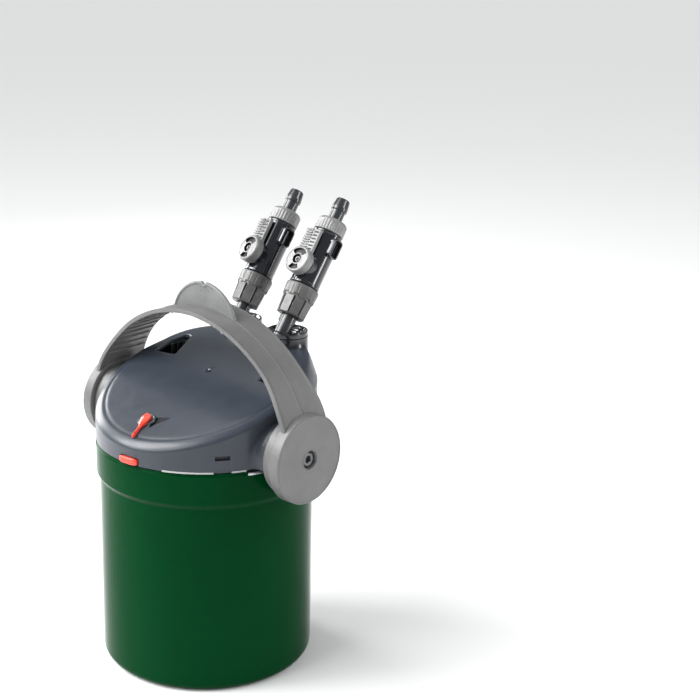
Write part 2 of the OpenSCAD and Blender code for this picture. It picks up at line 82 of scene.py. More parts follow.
def fillet(points, steps=5):
    """An open path through corners (x, y) or (x, y, radius), with the corners rounded."""
    out = []
    for i, p in enumerate(points):
        r = p[2] if len(p) > 2 else 0
        if not r or i in (0, len(points) - 1):
            out.append(p[:2])
            continue
        c, a, b = (np.array(q[:2], float) for q in (p, points[i - 1], points[i + 1]))
        u, v = (a - c) / np.linalg.norm(a - c), (b - c) / np.linalg.norm(b - c)
        half = math.acos(max(-1, min(1, float(u @ v)))) / 2
        if half > 1.55:
            out.append(p[:2])
            continue
        t = min(r / math.tan(half), 0.48 * min(np.linalg.norm(a - c), np.linalg.norm(b - c)))
        r = t * math.tan(half)
        m = c + (u + v) / np.linalg.norm(u + v) * r / math.sin(half)
        s, e = c + u * t - m, c + v * t - m
        w = math.acos(max(-1, min(1, float(s @ e) / r / r)))
        for k in range(steps + 1):
            f = k / steps
            if w < 1e-4:
                q = c
            else:
                q = m + (s * math.sin((1 - f) * w) + e * math.sin(f * w)) / math.sin(w)
            out.append((float(q[0]), float(q[1])))
    return out


def closed(points, steps=5):
    """As fillet, for a closed outline."""
    return fillet([points[-1][:2], *points, points[0][:2]], steps)[1:-1]


def rounded_rect(x0, x1, y0, y1, r, steps=5):
    out = []
    corners = ((x1 - r, y1 - r, 0), (x0 + r, y1 - r, 90), (x0 + r, y0 + r, 180), (x1 - r, y0 + r, 270))
    for cx, cy, a in corners:
        for k in range(steps + 1):
            t = math.radians(a + 90 * k / steps)
            out.append((cx + r * math.cos(t), cy + r * math.sin(t)))
    return out


def circle(r, n, y=0.0):
    return [(r * math.cos(a), y + r * math.sin(a)) for a in np.linspace(0, 2 * math.pi, n, endpoint=False)]


def inset(outline, d):
    p = np.array(outline, float)
    a, b = np.roll(p, 1, 0) - p, np.roll(p, -1, 0) - p
    a /= np.linalg.norm(a, axis=1)[:, None]
    b /= np.linalg.norm(b, axis=1)[:, None]
    n = np.c_[-(b - a)[:, 1], (b - a)[:, 0]]
    n /= np.linalg.norm(n, axis=1)[:, None]
    cos = np.clip(np.abs(np.sum(n * np.c_[-b[:, 1], b[:, 0]], axis=1)), 0.4, 1)
    return p + n * (d / cos)[:, None]


def around(n):
    return np.arange(n) * 2 * math.pi / n


def hoop(t, r, z):
    """Points round +Z at the angles t; r and z are numbers, or have one value for each angle."""
    return np.c_[r * np.cos(t), r * np.sin(t), np.full(len(t), z)]


def moved(points, place):
    v = np.asarray(points, float).reshape(-1, 3)
    if place is None:
        return v
    return v @ np.array(place)[:3, :3].T + np.array(place)[:3, 3]


def turned(degrees):
    return Matrix.Rotation(math.radians(degrees), 4, "Z")


def step(x, a, b):
    """0 before a, 1 after b, and a smooth rise between them."""
    t = np.clip((x - a) / (b - a), 0, 1)
    return t * t * (3 - 2 * t)


class Shape:
    """Vertices and faces of one piece, in millimetres."""

    def __init__(self):
        self.v, self.f, self.m = [], [], []

    def add(self, verts, faces, mat=0, place=None):
        base = len(self.v)
        self.v.extend(moved(verts, place).tolist())
        self.f.extend([[base + i for i in f] for f in faces])
        self.m.extend([mat] * len(faces))
        return self

    def sheet(self, rows, wrap=True, mat=0, place=None):
        """Faces between rows of points; wrap joins each row's end to its start."""
        p = np.asarray(rows, float)
        n, m = p.shape[:2]
        faces = [[i * m + j, i * m + (j + 1) % m, (i + 1) * m + (j + 1) % m, (i + 1) * m + j]
                 for i in range(n - 1) for j in range(m if wrap else m - 1)]
        return self.add(p.reshape(-1, 3), faces, mat, place)

    def tube(self, rings, mat=0):
        """Rings in a row, with a face over the first and the last."""
        self.sheet(rings, mat=mat)
        face = [list(range(len(rings[0])))]
        self.add(rings[0], face, mat)
        return self.add(rings[-1], face, mat)

    def lathe(self, profile, n=96, mat=0, place=None):
        t = around(n)
        return self.sheet([hoop(t, r, z) for r, z in profile], mat=mat, place=place)

    def slab(self, outline, z0, z1, r=0.4, mat=0, place=None, steps=3):
        """A prism with rounded upper and lower edges; the outline runs anticlockwise."""
        rows = []
        for z, way in ((z0, 1), (z1, -1)):
            part = []
            for k in range(steps + 1):
                t = math.pi / 2 * k / steps
                part.append((inset(outline, r * (1 - math.sin(t))), z + way * r * (1 - math.cos(t))))
            rows += part if way > 0 else part[::-1]
        p = [np.c_[o, np.full(len(o), z)] for o, z in rows]
        self.sheet(p, mat=mat, place=place)
        m = len(outline)
        return self.add(np.r_[p[0], p[-1]], [list(range(m))[::-1], [m + i for i in range(m)]], mat, place)

    def box(self, low, high, r=0.4, mat=0, place=None, corner=None):
        c = corner or r
        return self.slab(rounded_rect(low[0], high[0], low[1], high[1], c), low[2], high[2], r, mat, place)

    def paint(self, mat, test):
        """Give a material to the faces whose corners pass the test."""
        for i, f in enumerate(self.f):
            if test(np.array([self.v[j] for j in f])):
                self.m[i] = mat


def clean(mesh, merge, dissolve=False):
    """Join doubled points, drop edges without length where asked, and turn the faces outward."""
    bm = bmesh.new()
    bm.from_mesh(mesh)
    bmesh.ops.remove_doubles(bm, verts=bm.verts, dist=merge)
    if dissolve:
        bmesh.ops.dissolve_degenerate(bm, edges=bm.edges, dist=1e-7)
    bmesh.ops.recalc_face_normals(bm, faces=bm.faces)
    bm.to_mesh(mesh)
    bm.free()


def build(name, shape, body, mats, replaces=(), place=None, angle=38.0, cut=()):
    """One visual piece; edges steeper than the angle are sharp, and the shapes in cut are taken away."""
    mesh = bpy.data.meshes.new(name)
    mesh.from_pydata((moved(shape.v, place) * MM).tolist(), [], shape.f)
    mesh.polygons.foreach_set("material_index", shape.m)
    clean(mesh, 2e-6, dissolve=True)
    obj = bpy.data.objects.new(name, mesh)
    bpy.context.scene.collection.objects.link(obj)
    for m in mats if isinstance(mats, (list, tuple)) else [mats]:
        mesh.materials.append(m)
    for c in cut:
        subtract(obj, c)
    obj.data.shade_smooth()
    obj.data.set_sharp_from_angle(angle=math.radians(angle))
    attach(obj, body)
    if replaces:
        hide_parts(*replaces)
    return obj


def subtract(obj, shape):
    mesh = bpy.data.meshes.new("cutter")
    mesh.from_pydata((np.asarray(shape.v) * MM).tolist(), [], shape.f)
    clean(mesh, 1e-6)
    cutter = bpy.data.objects.new("cutter", mesh)
    bpy.context.scene.collection.objects.link(cutter)
    mod = obj.modifiers.new("cut", "BOOLEAN")
    mod.operation, mod.solver, mod.object = "DIFFERENCE", "MANIFOLD", cutter
    dg = bpy.context.evaluated_depsgraph_get()
    made = bpy.data.meshes.new_from_object(obj.evaluated_get(dg))
    obj.modifiers.clear()
    obj.data = made
    bpy.data.objects.remove(cutter)


def frame_x(side):
    """Local +Z runs outward along the pivot axis."""
    return Matrix.Translation((0, 0, PIVOT_Z)) @ Matrix.Rotation(math.radians(90 * side), 4, "Y")


def frame_tap(side):
    """On a tap's axis: local +Z runs up the tap, from the foot of its lower nut."""
    turn = TAP_TURN_IN if side < 0 else 0
    return (Matrix.Translation((side * TAP[0], TAP[1], TAP[2]))
            @ Matrix.Rotation(math.radians(-TAP_LEAN), 4, "X")
            @ turned(turn))


def frame_cock(side):
    """On the tap's cross axis: local +Y runs up the tap, +Z outward to the lever."""
    return frame_tap(side) @ Matrix.Translation((0, 0, COCK_Z)) @ Matrix.Rotation(math.radians(90), 4, "X")


# ------------------------------------------------------------------ materials

def linear(c):
    return c / 255 / 12.92 if c <= 10 else ((c / 255 + 0.055) / 1.055) ** 2.4


def srgb(r, g, b):
    return linear(r), linear(g), linear(b), 1.0


M = {}


def material(name, rgb, rough=0.45, vary=0.08, patch=60, grain=900, depth=0.00006, rough_vary=0.08,
             coat=0.0, coat_rough=0.05, spec=0.5, metal=0.0, pits=0.0, pit_scale=170, sheen=0.0,
             subsurface=0.0, stretch=None, bands=0.0):
    """Moulded material: patchy tone, uneven roughness, a fine grain, and pin marks where asked."""
    colour = srgb(*rgb)
    mat = bpy.data.materials.new("m_" + name)
    mat.use_nodes = True
    nt = mat.node_tree
    n, link = nt.nodes, nt.links.new
    bsdf = n["Principled BSDF"]
    bsdf.inputs["Base Color"].default_value = colour
    bsdf.inputs["Roughness"].default_value = rough
    bsdf.inputs["Metallic"].default_value = metal
    bsdf.inputs["Coat Weight"].default_value = coat
    bsdf.inputs["Coat Roughness"].default_value = coat_rough
    bsdf.inputs["Specular IOR Level"].default_value = spec
    bsdf.inputs["Sheen Weight"].default_value = sheen
    if subsurface:
        bsdf.inputs["Subsurface Weight"].default_value = subsurface
        bsdf.inputs["Subsurface Scale"].default_value = 0.004
    where = n.new("ShaderNodeTexCoord")
    source = where.outputs["Object"]
    if stretch:
        mapping = n.new("ShaderNodeMapping")
        mapping.inputs["Scale"].default_value = stretch
        link(source, mapping.inputs["Vector"])
        source = mapping.outputs["Vector"]

    def noise(scale, detail=4.0, roughness=0.55):
        t = n.new("ShaderNodeTexNoise")
        t.inputs["Scale"].default_value = scale
        t.inputs["Detail"].default_value = detail
        t.inputs["Roughness"].default_value = roughness
        link(source, t.inputs["Vector"])
        return t.outputs["Fac"]

    def ranged(value, low, high, a=0.3, b=0.7):
        r = n.new("ShaderNodeMapRange")
        r.inputs["From Min"].default_value, r.inputs["From Max"].default_value = a, b
        r.inputs["To Min"].default_value, r.inputs["To Max"].default_value = low, high
        link(value, r.inputs["Value"])
        return r.outputs["Result"]

    def scaled(colour_socket, factor_socket):
        m = n.new("ShaderNodeVectorMath")
        m.operation = "SCALE"
        link(colour_socket, m.inputs[0])
        link(factor_socket, m.inputs["Scale"])
        return m.outputs["Vector"]

    rgb = n.new("ShaderNodeRGB")
    rgb.outputs[0].default_value = colour
    tone = scaled(rgb.outputs[0], ranged(noise(patch), 1 - vary, 1 + vary))
    fine = noise(grain, 3.0, 0.6)
    tone = scaled(tone, ranged(fine, 1 - vary * 0.6, 1 + vary * 0.6))
    height = fine
    if bands:
        wave = n.new("ShaderNodeTexWave")
        wave.inputs["Scale"].default_value = bands
        wave.inputs["Distortion"].default_value = 1.5
        link(source, wave.inputs["Vector"])
        tone = scaled(tone, ranged(wave.outputs["Fac"], 0.8, 1.1, 0, 1))
        height = wave.outputs["Fac"]
    if pits:
        cells = n.new("ShaderNodeTexVoronoi")
        cells.inputs["Scale"].default_value = pit_scale
        link(source, cells.inputs["Vector"])
        tone = scaled(tone, ranged(cells.outputs["Distance"], 1 - pits, 1.0, 0.06, 0.13))
    link(tone, bsdf.inputs["Base Color"])
    link(ranged(noise(patch * 2.7), rough - rough_vary, rough + rough_vary), bsdf.inputs["Roughness"])
    bump = n.new("ShaderNodeBump")
    bump.inputs["Strength"].default_value = 1.0
    bump.inputs["Distance"].default_value = depth
    link(height, bump.inputs["Height"])
    link(bump.outputs["Normal"], bsdf.inputs["Normal"])
    M[name] = mat


material("green", (0, 55, 25), 0.12, 0.05, 14, 260, 0.00002, 0.03, spec=0.03)
material("head", (50, 56, 65), 0.33, 0.05, 40, 2600, 0.00003, 0.05, spec=0.4, coat=0.16, coat_rough=0.15)
# painted shade: the dark inside of the head seen through its openings, and the ring round the gate mark
material("painted_recess_shade", (22, 23, 26), 0.5, 0.1, 60, 1500, 0.00004)
# lighter than the lid: a painted highlight on the gate mark's small dome
material("gate", (110, 116, 126), 0.25, 0.05, 80, 1500, 0.00002)
# light grey: a painted highlight along the head's bottom edge
material("lip", (176, 176, 176), 0.3, 0.05, 80, 1500, 0.00002)
material("turret", (26, 29, 34), 0.2, 0.08, 60, 1200, 0.00003, 0.05, coat=0.3)
material("inner", (50, 54, 58), 0.45, 0.08, 50, 1500, 0.00004)
material("handle", (101, 101, 101), 0.42, 0.1, 45, 1500, 0.00022, 0.08, coat=0.15, coat_rough=0.2)
material("handle_pits", (118, 119, 119), 0.5, 0.16, 60, 1900, 0.00012, 0.06, pits=0.95, pit_scale=260)
material("red", (247, 66, 42), 0.3, 0.04, 80, 1600, 0.00003, coat=0.2)
material("tap_black", (20, 24, 30), 0.16, 0.08, 70, 900, 0.00002, 0.03, coat=0.6, coat_rough=0.08)
material("tap_grey", (86, 86, 85), 0.36, 0.2, 90, 2000, 0.00008, 0.07, coat=0.1)
material("tap_light", (124, 124, 124), 0.32, 0.12, 90, 2000, 0.00008, 0.07, coat=0.2)
# near-black painted shade, laid on the floors of slots, sockets and recesses on the taps, the hub screws and
# the pointer pocket
material("painted_gap_shade", (14, 14, 15), 0.6, 0.1, 90, 1500, 0.00003)
material("barb", (44, 47, 50), 0.2, 0.08, 90, 1400, 0.00003, 0.05, coat=0.2)
material("white", (236, 236, 232), 0.4, 0.03, 50, 1500, 0.00004, subsurface=0.05)
material("seal_orange", (238, 112, 34), 0.55, 0.06, 90, 2200, 0.00006)
material("seal_black", (20, 20, 21), 0.55, 0.1, 90, 2200, 0.00006)
material("ceramic", (228, 219, 202), 0.85, 0.1, 220, 1500, 0.00020)
material("foam", (32, 84, 168), 0.92, 0.12, 90, 1100, 0.0006, pits=0.75, pit_scale=620, sheen=0.3)
material("floss", (242, 242, 238), 0.95, 0.06, 60, 700, 0.0006, sheen=0.4, stretch=(1, 1, 4))
material("carbon", (30, 30, 32), 0.95, 0.25, 60, 800, 0.0006, sheen=0.25, stretch=(1, 1, 4))
material("steel", (186, 188, 191), 0.26, 0.05, 90, 700, 0.00002, metal=1.0, stretch=(1, 1, 9))
material("screw", (104, 105, 107), 0.34, 0.08, 120, 900, 0.00003, metal=0.7)
material("lamination", (140, 141, 145), 0.4, 0.08, 60, 500, 0.00010, metal=1.0)
material("copper", (178, 92, 44), 0.3, 0.1, 90, 900, 0.00012, metal=0.8, bands=520)
material("magnet", (66, 66, 70), 0.5, 0.08, 90, 900, 0.00004)


# ------------------------------------------------------------------ canister

def make_canister():
    s = Shape()
    outer = [(0, 1.4), (62, 1.4, 1), (65, 0, 1.5), (FOOT_R, 0, 7.5), (FOOT_R, NECK_Z - 3, 2.5),
             (NECK_R, NECK_Z + 1.2, 2.5), (NECK_R, SEAM - 2.0, 0.5), (NECK_R - 0.7, SEAM - 1.6, 0.3),
             (NECK_R - 0.7, SEAM, 0.5), (79.6, SEAM, 0.4), (79.2, NECK_Z + 3, 1), (78.3, NECK_Z, 1),
             (78.3, 3.5, 5), (0, 3.5)]
    s.lathe(fillet(outer, 6), 192)
    build("canister_shell", s, "canister", M["green"], ["canister"])


def make_clip(side, name):
    rings = []
    for a in np.linspace(-CLIP_HALF, CLIP_HALF, 21):
        t = math.radians(side * CLIP_BEARING + a)
        thin = 0.5 * (abs(a) / CLIP_HALF) ** 6
        section = rounded_rect(NECK_R + 0.05, NECK_R + 2.4 - thin, SEAM - 2.2, SEAM, 0.55, 3)
        rings.append([(r * math.sin(t), -r * math.cos(t), z) for r, z in section])
    build(f"clip_{name}", Shape().tube(rings), "canister", M["steel"], [f"rim_clip_{name}"])


# ------------------------------------------------------------------ lid and head

def dome(mid, slope, x, y):
    """Height of a sphere whose top stands DOME_RISE over (0, 0, mid), tilted round that point."""
    a = math.radians(slope)
    cy, cz = (DOME_RISE - DOME_R) * -math.sin(a), mid + (DOME_RISE - DOME_R) * math.cos(a)
    return cz + np.sqrt(DOME_R ** 2 - x ** 2 - (y - cy) ** 2)


def lid_z(x, y):
    """The lid's height: two domes, blended where they meet."""
    x, y = np.asarray(x, float), np.asarray(y, float)
    a, b = dome(*FRONT_DOME, x, y), dome(*REAR_DOME, x, y)
    k = 5.0
    h = np.clip(0.5 + 0.5 * (b - a) / k, 0, 1)
    return b * (1 - h) + a * h - k * h * (1 - h) * 0.6


def rim_groove(r):
    return 0.55 * np.exp(-((np.asarray(r) - GROOVE_R) / 1.3) ** 2)


def shoulder(phi):
    """How far the rim falls away toward the rear corners, 0 to 1."""
    off = np.abs(np.abs(np.arctan2(np.sin(phi), np.cos(phi))) - math.radians(138))
    return 1 - step(off, math.radians(14), math.radians(46))


def rim(f, phi):
    """Radius and fall of the rim for f from 0, the lid's edge, to 1, the top of the wall."""
    tau0 = math.radians(9)
    u0, u = math.sin(tau0), math.sin(tau0 + (math.pi / 2 - tau0) * f)
    r = LID_R + (HEAD_R - LID_R) * (u - u0) / (1 - u0)
    fall = 4.6 * (math.cos(tau0) - math.cos(tau0 + (math.pi / 2 - tau0) * f)) / math.cos(tau0)
    w = shoulder(phi)
    far = 18.5 * f ** 1.15
    return r + (LID_R + (HEAD_R - LID_R) * f - r) * w, fall + (far - fall) * w


def skin_z(x, y):
    """Height of the head's outer skin over a point in plan."""
    r, phi = np.hypot(x, y), np.arctan2(x, -y)
    f = np.clip((r - LID_R) / (HEAD_R - LID_R), 0, 1)
    return lid_z(x, y) - rim(1, phi)[1] * f ** 1.4 - rim_groove(r)


def head_radius(phi, z):
    """The head's wall with the concave flares that carry the pivot; phi runs from -Y toward +X."""
    sx, cy = np.abs(np.sin(phi)), np.abs(np.cos(phi))
    reach = FLARE_R + 9.0 * step(-np.cos(phi) * 84, 2, 26)
    lo, hi = np.full_like(phi, 60.0), np.full_like(phi, 95.0)
    for _ in range(30):
        r = (lo + hi) / 2
        rho = np.sqrt((r * cy) ** 2 + (z - PIVOT_Z) ** 2)
        q = np.clip((reach - rho) / (reach - BOSS_R), 0, 1)
        x = BOSS_X - 15 * np.sqrt(1 - q * q)
        x = np.where(rho > reach, -1, x)
        out = r * sx > x
        lo, hi = np.where(out, lo, r), np.where(out, r, hi)
    flare = lo
    k = 2.4
    d = np.clip(1 - np.abs(flare - HEAD_R) / k, 0, 1)
    return np.maximum(flare, HEAD_R) + d * d * k / 4 * (flare > 61)


def window_outline(side):
    pts = [(45, 9, 1.4), (67, 8, 1.6), (64.8, 22, 7), (58.0, 35.0, 3.2), (52.6, 33.0, 2.8)]
    p = np.array(closed(pts, 6))
    if side < 0:
        p = (p * [-1, 1])[::-1]
    return p


WINDOWS = [window_outline(side) for side in (-1, 1)]
HEAD_COLS = 360
HEAD_ANGLES = around(HEAD_COLS)


def inside(p, poly):
    x, y = p
    hit = False
    for i in range(len(poly)):
        (x0, y0), (x1, y1) = poly[i], poly[i - 1]
        if (y0 > y) != (y1 > y) and x < (x1 - x0) * (y - y0) / (y1 - y0) + x0:
            hit = not hit
    return hit


def lid_plan():
    """The lid's points and triangles in plan: loops along its edges, and loose points between them."""
    pts, edges = [], []

    def loop(p):
        base = len(pts)
        pts.extend([Vector((float(a), float(b))) for a, b in p])
        edges.extend([(base + i, base + (i + 1) % len(p)) for i in range(len(p))])

    loop([(LID_R * math.sin(a), -LID_R * math.cos(a)) for a in HEAD_ANGLES])
    for r in (75.8, 75.0, 74.0, 72.8):
        loop([(r * math.sin(a), -r * math.cos(a)) for a in HEAD_ANGLES[::2]])
    for w in WINDOWS:
        for d in (0, 0.2, 0.5, 0.9, WINDOW_EDGE):
            loop(inset(w, -d))
    loop(circle(2.4, 24, GATE_Y))
    loop(circle(1.2, 16, GATE_Y))

    grown = [inset(w, -WINDOW_EDGE - 0.8) for w in WINDOWS]
    for r in np.arange(3.0, 72.0, 3.0):
        m = max(8, int(2 * math.pi * r / 3.0))
        for k in range(m):
            t = 2 * math.pi * (k + 0.5 * (int(r) % 2)) / m
            p = (r * math.cos(t), r * math.sin(t))
            if not any(inside(p, g) for g in grown) and math.hypot(p[0], p[1] - GATE_Y) >= 3:
                pts.append(Vector(p))
    pts.extend([Vector((0.5 * math.cos(a), GATE_Y + 0.5 * math.sin(a))) for a in (0, 2.1, 4.2)])
    verts, _, tris, _, _, _ = delaunay_2d_cdt(pts, edges, [], 0, 1e-5)
    xy = np.array([tuple(p) for p in verts])
    kept = []
    for t in tris:
        c = xy[list(t)].mean(0)
        if math.hypot(*c) < LID_R and not any(inside(c, w) for w in WINDOWS):
            kept.append(list(t))
    return xy, kept


def lid_drop(xy):
    """How far the lid dips at its points: rounded window edges, the gate mark's ring and the rim's groove."""
    drop = np.zeros(len(xy))
    for w in WINDOWS:
        nearest = np.full(len(xy), 1e9)
        for a, b in zip(w, np.roll(w, -1, 0)):
            d = b - a
            t = np.clip(((xy - a) @ d) / (d @ d), 0, 1)
            nearest = np.minimum(nearest, np.linalg.norm(xy - a - t[:, None] * d, axis=1))
        e = np.clip(nearest / WINDOW_EDGE, 0, 1)
        drop += WINDOW_EDGE * (1 - np.sqrt(np.clip(1 - (1 - e) ** 2, 0, 1)))
    r = np.hypot(xy[:, 0], xy[:, 1] - GATE_Y)
    drop += 0.5 * np.exp(-((r - 2.4) / 0.7) ** 2) - 0.4 * np.clip(1 - (r / 1.6) ** 2, 0, 1)
    return drop + rim_groove(np.hypot(xy[:, 0], xy[:, 1]))


def head_rows():
    """Rows down the rounded rim and the wall to the seam, and back up inside to the lid's underside."""
    sn, cs = np.sin(HEAD_ANGLES), -np.cos(HEAD_ANGLES)

    def row(r, z):
        return np.c_[r * sn, r * cs, np.full(HEAD_COLS, z)]

    rows = []
    for f in np.linspace(0, 1, 19):
        r, fall = rim(f, HEAD_ANGLES)
        rows.append(row(r, lid_z(r * sn, r * cs) - fall - rim_groove(r)))
    z_top, z_low = rows[-1][:, 2], HEAD_Z + 0.9
    for f in np.linspace(0, 1, 56)[1:]:
        z = z_top + (z_low - z_top) * f
        rows.append(row(head_radius(HEAD_ANGLES, z), z))
    foot = head_radius(HEAD_ANGLES, np.full(HEAD_COLS, z_low))
    rows += [row(foot - 0.25, HEAD_Z + 0.3), row(foot - 0.8, HEAD_Z), row(81.0, HEAD_Z)]
    rows.append(row(80.0, lid_z(80.0 * sn, 80.0 * cs) - 7.0 - 13.0 * shoulder(HEAD_ANGLES)))
    rows.append(row(LID_R, lid_z(LID_R * sn, LID_R * cs) - LID_T))
    return rows


def pointer_pocket():
    """The outline of the pocket behind the pointer, and a frame that lies on the lid there."""
    outline = closed([(3.0, -56.0, 0.6), (8.5, -66.0, 0.6), (17.0, -51.0, 0.5)], 4)
    x, y = 8.0, -58.0
    slope = (float(lid_z(x, y + 1)) - float(lid_z(x, y - 1))) / 2
    z = float(lid_z(x, y)) - slope * y
    return outline, Matrix(((1, 0, 0, 0), (0, 1, 0, 0), (0, slope, 1, z), (0, 0, 0, 1)))


def make_head():
    xy, tris = lid_plan()
    z = lid_z(xy[:, 0], xy[:, 1])
    top, low = np.c_[xy, z - lid_drop(xy)], np.c_[xy, z - LID_T]
    s = Shape()
    s.add(top, tris)
    s.add(low, [t[::-1] for t in tris])
    count = {}
    for t in tris:
        for i in range(3):
            k = tuple(sorted((t[i], t[(i + 1) % 3])))
            count[k] = count.get(k, 0) + 1
    n = len(xy)
    walls = [(a, b) for (a, b), c in count.items() if c == 1 and math.hypot(*xy[a]) < LID_R - 0.5]
    s.add(np.r_[top, low], [[a, b, n + b, n + a] for a, b in walls])
    s.sheet(head_rows())

    tab, slot = turned(TAB_BEARING), turned(SLOT_BEARING)
    outline, pocket = pointer_pocket()
    cut = [Shape().box((-8.8, -90, 176.0), (8.8, -78, 181.6), 0.35, place=tab, corner=1.2),
           Shape().box((-5.5, -90, 185.2), (5.5, -78, 188.6), 0.3, place=slot, corner=1.2),
           Shape().box((-5.5, -90, 170), (5.5, -82.1, 177.6), 0.3, place=slot, corner=1.2),
           Shape().slab(outline, -2.6, 8.0, 0.25, place=pocket)]
    build("head_shell", s, "head", M["head"], ["head_cover"], cut=cut, angle=42)


def make_head_inside():
    """Ribs and floors seen through the grip windows, the slots and the pocket, coloured near-black as painted
    shade.
    """
    d = Shape()
    outline, pocket = pointer_pocket()
    # near-black floor of the pocket behind the pointer: painted shade
    d.slab(outline, -2.5, -1.5, 0.1, mat=1, place=pocket)
    for w in WINDOWS:
        cx, cy = w.mean(0)
        zc = float(lid_z(cx, cy))
        # dark floor under each window, and the dark ribs below: painted shade inside the head
        d.slab(inset(w, -4), zc - 26, zc - 23, 0.4)
        for k in range(5):
            x = math.copysign(50.5 + k * 2.6, cx)
            y1 = 33.5 - max(0.0, abs(x) - 56.0) * 1.35
            z1 = float(lid_z(x, y1)) - 3.2
            d.box((x - 0.5, y1 - 5.5 - k * 0.4, z1 - 20), (x + 0.5, y1 + 1.5, z1), 0.3)
    # dark plates behind the slots in the wall: painted shade
    for z0, z1 in ((184.4, 189.4), (175.6, 178.4)):
        d.box((-7, -81.6, z0), (7, -80.4, z1), 0.3, place=turned(SLOT_BEARING))
    build("head_inside", d, "head", [M["painted_recess_shade"], M["painted_gap_shade"]])


def make_gate_mark():
    g = Shape()
    z = float(lid_z(0.0, GATE_Y))
    middle = Matrix.Translation((0, GATE_Y, 0))
    # the light dome is a painted highlight on the gate mark
    g.lathe([(0.02, z + 0.95), (0.5, z + 0.85), (1.0, z + 0.5), (1.25, z - 0.1), (1.3, z - 0.6)], 32,
            place=middle)
    # the dark ring round it is painted shade in the lid's groove
    g.lathe([(1.9, z - 0.55), (2.9, z - 0.42)], 32, mat=1, place=middle)
    build("gate_mark", g, "head", [M["gate"], M["painted_recess_shade"]])


def make_painted_seam_highlight(name, start, end):
    """A thin light grey lip under the front of the head, between two bearings: a painted highlight along the
    head's bottom edge.
    """
    rings = []
    for a in np.linspace(start, end, 40):
        phi = math.radians(a)
        r = float(head_radius(np.array([phi]), np.array([HEAD_Z + 1.0]))[0])
        section = rounded_rect(r - 0.5, r + 0.45, HEAD_Z + 0.05, HEAD_Z + 1.25, 0.3, 3)
        rings.append([(q * math.sin(phi), -q * math.cos(phi), z) for q, z in section])
    build(f"painted_seam_highlight_{name}", Shape().tube(rings), "head", M["lip"])


def make_turret_foot(side, name):
    """A dark sleeve that spreads where the turret meets the head, less where the wall is near."""
    t = np.linspace(0, 2 * math.pi, 120, endpoint=False)
    x, y = side * TAP[0], TURRET_Y
    sleeve, top = 16.2, 246.4
    base = np.full(len(t), 17.4)
    for i, a in enumerate(t):
        while (math.hypot(x + base[i] * math.cos(a), y + base[i] * math.sin(a)) > HEAD_R - 0.4
               and base[i] > sleeve + 0.1):
            base[i] -= 0.1
    foot = skin_z(x + base * np.cos(t), y + base * np.sin(t)) - 0.8
    rows = [hoop(t, sleeve + (base - sleeve) * (1 - f) ** 2.5, foot + (top - foot) * f)
            for f in np.linspace(0, 1, 9)]
    rows += [hoop(t, r, z) for r, z in ((sleeve, 246.8), (16.0, 247.0), (15.6, 247.0), (15.5, 243))]
    s = Shape().sheet(np.array(rows) + [x, y, 0])
    build(f"turret_foot_{name}", s, "head", M["turret"])


def make_boss_skirt(side, name):
    """The part of a pivot boss that hangs below the seam."""
    th = np.linspace(-math.asin(20.4 / BOSS_R), math.acos((PIVOT_Z - HEAD_Z) / BOSS_R), 41)
    y, z = BOSS_R * np.sin(th), PIVOT_Z - BOSS_R * np.cos(th)
    inner, full = np.sqrt(84.35 ** 2 - y ** 2), np.ones(len(th))
    rows = [np.c_[side * inner, y, z], np.c_[side * (BOSS_X - 0.4) * full, y, z],
            np.c_[side * BOSS_X * full, y * 0.985, PIVOT_Z - (PIVOT_Z - z) * 0.985],
            np.c_[side * BOSS_X * full, y, HEAD_Z * full]]
    build(f"boss_skirt_{name}", Shape().sheet(rows, wrap=False), "head", M["head"])


def make_socket(side, name):
    """A turret with its stepped mouth, and the pipe that runs down from it to the head's base."""
    s = Shape()
    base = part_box("head_base")[1].z / MM
    prof = [(6.9, 232), (6.9, 246.3, 0.3), (8.8, 246.5, 0.4), (9.4, 247.6, 0.5), (10.6, 247.7, 0.5),
            (11.2, 248.9, 0.5), (13.2, 249.0, 0.6), (14.6, TURRET_TOP, 0.4), (TURRET_R, TURRET_TOP, 0.7),
            (TURRET_R, 247.3, 0.3), (15.3, 247.1, 0.2), (15.3, 240), (15.6, 236), (15.6, 212), (5.6, 212)]
    s.lathe(fillet(prof, 5), 120)
    s.lathe([(9, base + 0.05), (9, 213), (5.5, 213), (5.5, base)], 64, place=Matrix.Translation((0, -1.4, 0)))
    build(f"socket_{name}", s, "head", M["tap_black"], [f"turret_{name}"],
          place=Matrix.Translation((side * TAP[0], TURRET_Y, 0)))


# ------------------------------------------------------------------ handle

def arch(t, a, h):
    c, s = np.cos(t), np.sin(t)
    e = 2 / ARCH_N
    return a * np.sign(c) * np.abs(c) ** e, h * np.abs(s) ** e


def taper(z):
    """The strap's width at a height, as a share of its width at the hubs."""
    return 1 - (1 - STRAP_TOP_W / STRAP_W) * step(z, 30.0, 64.0)


def strap_section():
    """Across the strap at the hubs: y, and the depth below its outer face."""
    half = STRAP_W / 2
    right = [(0.45, 0.12), (0.9, 0.40), *((y, 0.42) for y in np.linspace(1.6, half - 5, 8)),
             (half - 3.4, 0.42), (half - 2.1, 0.35), (half - 1.5, 0.0), (half - 0.5, 0.0),
             (half - 0.12, 0.15), (half, 0.6), (half, STRAP_T - 0.7), (half - 0.2, STRAP_T - 0.2),
             (half - 0.7, STRAP_T)]
    left = [(-y, d) for y, d in right[::-1]]
    under = [(y, STRAP_T) for y in np.linspace(half - 2, 2 - half, 20)]
    return left[5:] + [(0.0, 0.05)] + right + under + left[:5]


def add_band(s):
    """The strap itself, from hub to hub over the arch."""
    cols = []
    for y, d in strap_section():
        cut_z = math.sqrt((HUB_R + 0.02) ** 2 - y * y)
        t0 = math.asin((cut_z / ARCH_H) ** (ARCH_N / 2))
        t = np.linspace(t0, math.pi - t0, 260)
        x, z = arch(t, HUB_X - d, ARCH_H - d)
        cols.append(np.c_[x, y * taper(z), z])
    s.tube(np.array(cols).transpose(1, 0, 2))


